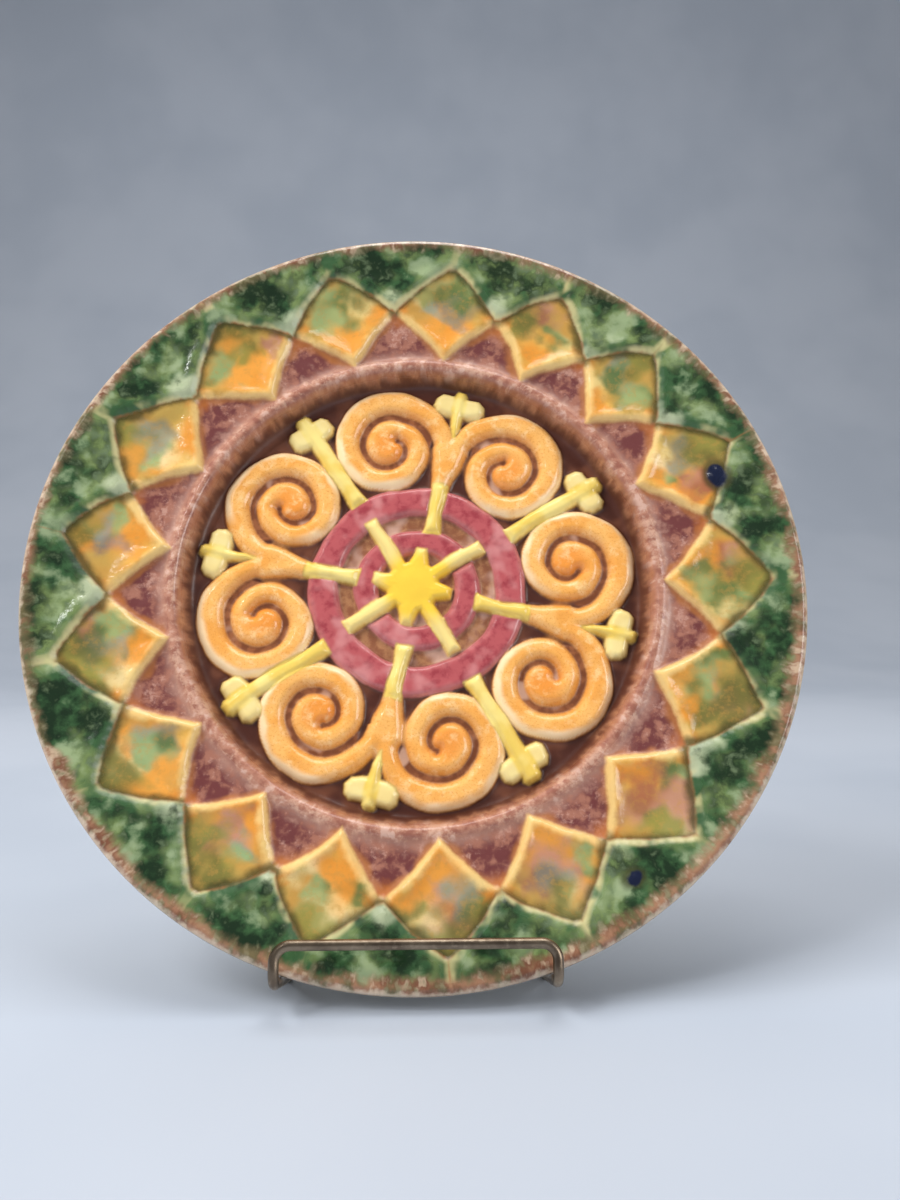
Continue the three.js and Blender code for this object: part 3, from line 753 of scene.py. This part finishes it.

# Well floor, its wall and the sponged shoulder. The floor's dark brown is partly painted shade, and the
# dark at the wall's foot is painted shade.
# The well floor: dark brown glaze, made darker still as painted shade in the hollow of the well
floor_brown_and_shade = washed(tint("4e271c"), "72432f", patchy, 0.4, 0.66)
court = washed(tint("8e583c"), "b17d56", mottled, 0.38, 0.66)
court = washed(court, "cfa896", blotchy, 0.52, 0.7, 0.8)
painted = laid(tree, floor_brown_and_shade, court, fade(tree, reach, 31, 28))
wall = washed(tint("854f38"), "b47c5a", wandering(mottled, brushed, 0.2), 0.36, 0.7)
# Painted shade: the wall darkens towards its foot, where it meets the well floor
wall = washed(wall, "4c2a20", wandering(reach, mottled, 3), 86, 83, 0.85)
painted = laid(tree, painted, wall, fade(tree, wandering(reach, patchy, 4), 81.6, 85))
shoulder = washed(tint("b5806a"), "8f584a", wandering(mottled, brushed, 0.3), 0.42, 0.68, 0.85)
shoulder = washed(shoulder, "d9b29a", wandering(sponged, patchy, 0.9), 0.54, 0.26, 0.6)
flecked = wandering(mottled, brushed, 0.5)
shoulder = washed(shoulder, "dab8a8", flecked, 0.44, 0.3, 0.6)
painted = laid(tree, painted, shoulder, fade(tree, wandering(reach, clouded, 4), 84.4, 87.4))

# Sunk ground between the tiles' inner tips, with orange run into it along their edges
inner_edge, outer_edge = carried_by("inner_edge"), carried_by("outer_edge")
junction = carried_by("junction")
run_in = both(fade(tree, wandering(junction, mottled, 8), 7.5, 2.0), 0.75)
ground = washed(tint("6b3635"), "a06a58", wandering(mottled, blotchy, 0.8), 0.38, 0.66)
ground = washed(ground, "c69a8a", wandering(sponged, blotchy, 0.8), 0.54, 0.8, 0.65)
ground = washed(ground, "c09481", wandering(reach, mottled, 14), 96, 90, 0.6)
ground = washed(ground, "b06d37", wandering(inner_edge, patchy, 8), -3.0, -0.2, 0.75)
ground = laid(tree, ground, tint("b5682f"), run_in)
painted = laid(tree, painted, ground, fade(tree, wandering(reach, mottled, 4), 90, 92.4))

# Tiles: orange towards the well, clouded with other colours towards the rim
tile = washed(tint("dd953e"), "d6a650", broad, 0.4, 0.62)
tile = washed(tile, "938a4e", wandering(outer_edge, patchy, 8), 16, 6, 0.5)
for dab, deep, light, strength, noise in (
    ("pale_dab", "e6cc86", "f2dca6", 0.7, blotchy),
    ("orange_dab", "e08c30", "e69c42", 0.8, patchy),
    ("mauve_dab", "935848", "b88472", 0.8, clouded),
    ("slate_dab", "73776b", "86988a", 0.75, blotchy),
    ("olive_dab", "59602e", "80843f", 0.8, patchy),
    ("green_dab", "526d3c", "8fa66e", 0.85, clouded),
):
    thick = wandering(wandering(carried_by(dab), noise, 0.5), mottled, 0.4)
    colour = washed(tint(deep), light, broad, 0.58, 0.4)
    tile = laid(tree, tile, colour, both(fade(tree, thick, 0.14, 0.86), strength))
tile = washed(tile, "b98b45", wandering(sponged, mottled, 0.6), 0.46, 0.72, 0.35)
tile = laid(tree, tile, tint("dc8530"), run_in)
thin = both(fade(tree, wandering(wandering(inner_edge, patchy, 6), mottled, 3), 3.8, 0.6), 0.75)
tile = laid(tree, tile, tint("f0cd86"), thin)
# Painted shadow under the leaves' lapping edges, with some glaze pooled there: dark olive along the tiles'
# outer edges
pooled_and_leaf_shadow = both(fade(tree, wandering(wandering(outer_edge, patchy, 6), mottled, 2), 3.8, 0.2), 0.85)
tile = laid(tree, tile, tint("3f3b1d"), pooled_and_leaf_shadow)
tile_edge = worked(tree, "MINIMUM", inner_edge, outer_edge)
on_tile = fade(tree, wandering(tile_edge, mottled, 1.2), -0.9, 0.7)
painted = laid(tree, painted, tile, both(on_tile, fade(tree, reach, 88.5, 89.5)))

# Leaves: bottle green, almost black where it lies thick, sage round the corners and pale over the edges
leaf_edge = carried_by("leaf_edge")
leaf = washed(tint("385936"), "71834f", wandering(patchy, mottled, 0.3), 0.4, 0.64)
leaf = washed(leaf, "9fae86", wandering(blotchy, mottled, 0.3), 0.46, 0.28, 0.7)
leaf = washed(leaf, "bcc3a0", wandering(junction, blotchy, 30), 11, 3, 0.75)
thick = wandering(worked(tree, "MINIMUM", leaf_edge, 6.0), blotchy, 28)
leaf = washed(leaf, "152817", wandering(thick, mottled, 20), 1.6, 9.2, 0.95)
leaf = washed(leaf, "93a87e", wandering(mottled, patchy, 0.6), 0.52, 0.8, 0.35)
pale_edge = both(fade(tree, wandering(leaf_edge, broad, 6), 2.0, 0.2), fade(tree, patchy, 0.41, 0.58))
leaf = laid(tree, leaf, tint("cec28c"), both(pale_edge, 0.8))
on_leaf = fade(tree, wandering(leaf_edge, mottled, 1.2), -0.7, 0.7)
painted = laid(tree, painted, leaf, both(on_leaf, fade(tree, reach, 108, 110)))

# Lip: cream slip washed with brown, with the leaves' green run over it here and there
lip = washed(tint("9d745a"), "764d3a", wandering(patchy, streaked, 0.7), 0.4, 0.68)
lip = washed(lip, "ccb296", wandering(streaked, mottled, 0.5), 0.48, 0.72, 0.8)
lip = washed(lip, "565d3c", wandering(blotchy, streaked, 0.6), 0.46, 0.66, 0.7)
lip = washed(lip, "dcc9b2", wandering(reach, mottled, 5), 137.6, 139.6, 0.65)
on_lip = wandering(wandering(carried_by("lip_over"), patchy, 8), streaked, 4)
on_lip = wandering(on_lip, mottled, 5)
painted = laid(tree, painted, lip, fade(tree, on_lip, -2.4, 2.2))

# Rings: raspberry, pink where it is thin
ring = carried_by("ring")
berry = washed(tint("b4575a"), "9a3d45", mottled, 0.42, 0.7)
berry = washed(berry, "cf8a88", patchy, 0.48, 0.68, 0.8)
berry = washed(berry, "d6a29a", wandering(ring, patchy, 8), 2.2, -0.4, 0.2)
painted = laid(tree, painted, berry, fade(tree, wandering(ring, mottled, 1.0), -0.9, 0.1))

# Volutes and stems: orange, speckled, cream where the glaze drained thin, with rust in the grooves
# and painted shade beside them
scroll, coil = carried_by("scroll"), carried_by("coil")
rust = washed(tint("794428"), "995e3a", mottled, 0.42, 0.68)
rust = washed(rust, "d6ab92", blotchy, 0.58, 0.7, 0.75)
painted = laid(tree, painted, rust, fade(tree, coil, 0.2, 1.6))
amber = washed(tint("f2b566"), "eba34e", patchy, 0.42, 0.64)
amber = washed(amber, "e98f3a", carried_by("eye_reach"), 10, 3, 0.8)
amber = washed(amber, "f9d094", mottled, 0.48, 0.74, 0.7)
amber = washed(amber, "d98c3e", speckled, 0.5, 0.68, 0.65)
on_rim = carried_by("rim")
thin_rim = wandering(carried_by("drained"), patchy, 9)
thin_rim = fade(tree, worked(tree, "SUBTRACT", coil, thin_rim), 3.6, 0.2)
amber = laid(tree, amber, tint("fde2b6"), both(both(thin_rim, on_rim), 0.85))
# Painted shade: the band turns brown beside the grooves, except along its free rims
groove_side_shade = both(fade(tree, scroll, 1.5, -0.5), worked(tree, "SUBTRACT", 1.0, on_rim))
amber = laid(tree, amber, tint("b56d36"), both(groove_side_shade, 0.55))
painted = laid(tree, painted, amber, fade(tree, wandering(scroll, mottled, 0.8), -0.9, 0.2))

# Bars, spikes and collars: lemon; the star: golden, with paler rays. All are darker down their sides, which
# is painted shade
bar, star = carried_by("bar"), carried_by("star")
lemon = washed(tint("e8c65f"), "f0d984", patchy, 0.42, 0.66)
lemon = washed(lemon, "f0dca0", carried_by("ridge"), 0.2, -1.2, 0.6)
# Painted shade: bars, spikes, collars and lobes darker down their rounded sides
lemon = washed(lemon, "bf9440", wandering(bar, mottled, 1.6), 0.6, -0.7, 0.8)
painted = laid(tree, painted, lemon, fade(tree, wandering(bar, mottled, 0.8), -1.0, 0.1))
golden = washed(tint("f2c844"), "f1d787", wandering(reach, patchy, 8), 10, 17)
# Painted shade: the star darker down its rounded sides
golden = washed(golden, "d3a544", wandering(star, mottled, 1.6), 0.6, -0.7, 0.7)
painted = laid(tree, painted, golden, fade(tree, wandering(star, mottled, 0.8), -1.0, 0.1))

# Two drops of a blue-black glaze that fell on the border, with a dark ring where they ran
drop = carried_by("drop")
painted = washed(painted, "39381f", wandering(drop, patchy, 4), -2.6, 0, 0.8)
painted = washed(painted, "111932", wandering(drop, mottled, 1.6), -0.4, 0.7)
feed(tree, shader.inputs["Base Color"], painted)
skin_gloss = skinned(tree, shader, place, FRONT_SKIN_DEPTH)
dulled = both(carried_by("sunk"), SUNK_DULLNESS)
feed(tree, shader.inputs["Roughness"], worked(tree, "ADD", skin_gloss, dulled))

cream_glaze, tree, shader = finish_named("cream_glaze")
place = carried_by("place")
cream = washed(tint("e6d6b6"), "ddcaa8", cloud(tree, place, 0.05, 4), 0.4, 0.65)
cream = washed(cream, "c3a57c", cloud(tree, place, 0.7, 3), 0.62, 0.74, 0.5)
feed(tree, shader.inputs["Base Color"], cream)
skinned(tree, shader, place, BACK_SKIN_DEPTH)

bare_biscuit, tree, shader = finish_named("bare_biscuit")
place = carried_by("place")
biscuit = washed(tint("d2b292"), "b58f6c", cloud(tree, place, 0.5, 4), 0.4, 0.68)
feed(tree, shader.inputs["Base Color"], biscuit)
shader.inputs["Roughness"].default_value = 0.85
gritty = tree.nodes.new("ShaderNodeBump")
gritty.inputs["Strength"].default_value = 0.6
gritty.inputs["Distance"].default_value = 0.0003
feed(tree, gritty.inputs["Height"], cloud(tree, place, 2.2, 3))
feed(tree, shader.inputs["Normal"], gritty.outputs[0])

# The back is plain cream, from the turn of the rim on, and the foot ring's face is left bare
BACK_BELOW_FRONT = 2.2
RIM_TURN_RADIUS, RIM_TURN_HEIGHT = 138.2, -3.4
FOOT_FACE_HEIGHT = -30.2
plate.data.materials.clear()
for finish in (painted_glaze, cream_glaze, bare_biscuit):
    plate.data.materials.append(finish)
middles = np.empty(len(plate.data.polygons) * 3)
plate.data.polygons.foreach_get("center", middles)
middles = middles.reshape(-1, 3)
face_reach = np.hypot(middles[:, 0], middles[:, 1])
behind = middles[:, 2] < np.interp(face_reach, *FRONT.T) - BACK_BELOW_FRONT
rim_turn = (face_reach > RIM_TURN_RADIUS) & (middles[:, 2] < RIM_TURN_HEIGHT)
foot_face = middles[:, 2] < FOOT_FACE_HEIGHT
plate.data.polygons.foreach_set("material_index", np.where(foot_face, 2, np.where(behind | rim_turn, 1, 0)))
plate.data.transform(PLATE_TO_ROW)
bpy.ops.object.select_all(action="DESELECT")
plate.select_set(True)
bpy.context.view_layer.objects.active = plate
bpy.ops.object.shade_smooth()
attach(plate, "root")
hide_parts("plate")


# Floor and backdrop: one pale sheet that sweeps up behind the plate, so the horizon is soft.
SWEEP_SIZE, SWEEP_RISE, SWEEP_BEND = 4, 2.6, 1.2
SWEEP_BACK = SWEEP_SIZE / 2 - 0.1
bpy.ops.object.select_all(action="DESELECT")
bpy.ops.mesh.primitive_plane_add(size=SWEEP_SIZE, location=(0, 0, 0))
sweep = bpy.context.object
sweep.name = "pale_sweep"
bpy.ops.object.mode_set(mode="EDIT")
bpy.ops.mesh.select_mode(type="EDGE")
bpy.ops.mesh.select_all(action="DESELECT")
bpy.ops.object.mode_set(mode="OBJECT")
for edge in sweep.data.edges:
    edge.select = all(sweep.data.vertices[end].co.y > SWEEP_BACK for end in edge.vertices)
bpy.ops.object.mode_set(mode="EDIT")
bpy.ops.mesh.extrude_region_move(TRANSFORM_OT_translate={"value": (0, 0, SWEEP_RISE)})
bpy.ops.mesh.select_all(action="DESELECT")
bpy.ops.object.mode_set(mode="OBJECT")
for edge in sweep.data.edges:
    ends = [sweep.data.vertices[end].co for end in edge.vertices]
    edge.select = all(end.y > SWEEP_BACK and end.z < SWEEP_RISE / 2 for end in ends)
bpy.ops.object.mode_set(mode="EDIT")
bpy.ops.mesh.bevel(offset=SWEEP_BEND, segments=16, affect="EDGES")
bpy.ops.object.mode_set(mode="OBJECT")
bpy.ops.object.shade_smooth()
pale_paper, tree, shader = finish_named("pale_paper")
spot = tree.nodes.new("ShaderNodeTexCoord").outputs["Object"]
feed(tree, shader.inputs["Base Color"], washed(tint("bdc4cf"), "b3bbc7", cloud(tree, spot, 3), 0.35, 0.65))
shader.inputs["Roughness"].default_value = 0.75
sweep.data.materials.append(pale_paper)

# Light: a window's worth of soft light from the upper left, weaker ones from the right and overhead, and a
# pale room all round. The window is left out of the reflections, so that the glaze keeps its colours and
# takes its small bright glints from one pane. Each lamp has its place, its size and its watts.
PLATE_MIDDLE = Vector((0, 0, 0.14))
ROOM_COLOUR, ROOM_STRENGTH = (0.98, 0.98, 1, 1), 0.22
world = bpy.data.worlds.new("pale_room")
bpy.context.scene.world = world
world.use_nodes = True
world.node_tree.nodes["Background"].inputs["Color"].default_value = ROOM_COLOUR
world.node_tree.nodes["Background"].inputs["Strength"].default_value = ROOM_STRENGTH
for name, place_at, size, watts in (
    ("window", (-1.05, -0.6, 1.15), (1.0, 1.0), 25),
    ("right_fill", (1.3, -0.8, 0.6), (0.8, 0.8), 10.5),
    ("over_head", (0.1, 0.1, 1.5), (1.0, 1.0), 12),
    ("bright_pane", (-0.55, -0.6, 0.85), (0.045, 0.06), 0.6),
):
    bpy.ops.object.select_all(action="DESELECT")
    bpy.ops.object.light_add(type="AREA", location=place_at)
    lamp = bpy.context.object
    lamp.name = name
    lamp.data.shape = "RECTANGLE"
    lamp.data.size, lamp.data.size_y = size
    lamp.data.energy = watts
    aim = PLATE_MIDDLE - Vector(place_at)
    lamp.rotation_euler = aim.to_track_quat("-Z", "Y").to_euler()
    lamp.visible_glossy = name != "window"

# Camera: close in front of the plate, at the height of its middle, turned a little down and to the right.
CAMERA_AT = (0.00238, -0.38346, 0.14215)
CAMERA_DOWN, CAMERA_TO_RIGHT = math.radians(1.96), math.radians(1.5)
CAMERA_LENS = 30
bpy.ops.object.select_all(action="DESELECT")
bpy.ops.object.camera_add(location=CAMERA_AT)
camera = bpy.context.object
camera.rotation_euler = (math.pi / 2 - CAMERA_DOWN, 0, -CAMERA_TO_RIGHT)
camera.data.lens = CAMERA_LENS
camera.data.sensor_width = 36
camera.data.clip_start = 0.01
bpy.context.scene.camera = camera
bpy.context.scene.view_settings.view_transform = "Standard"
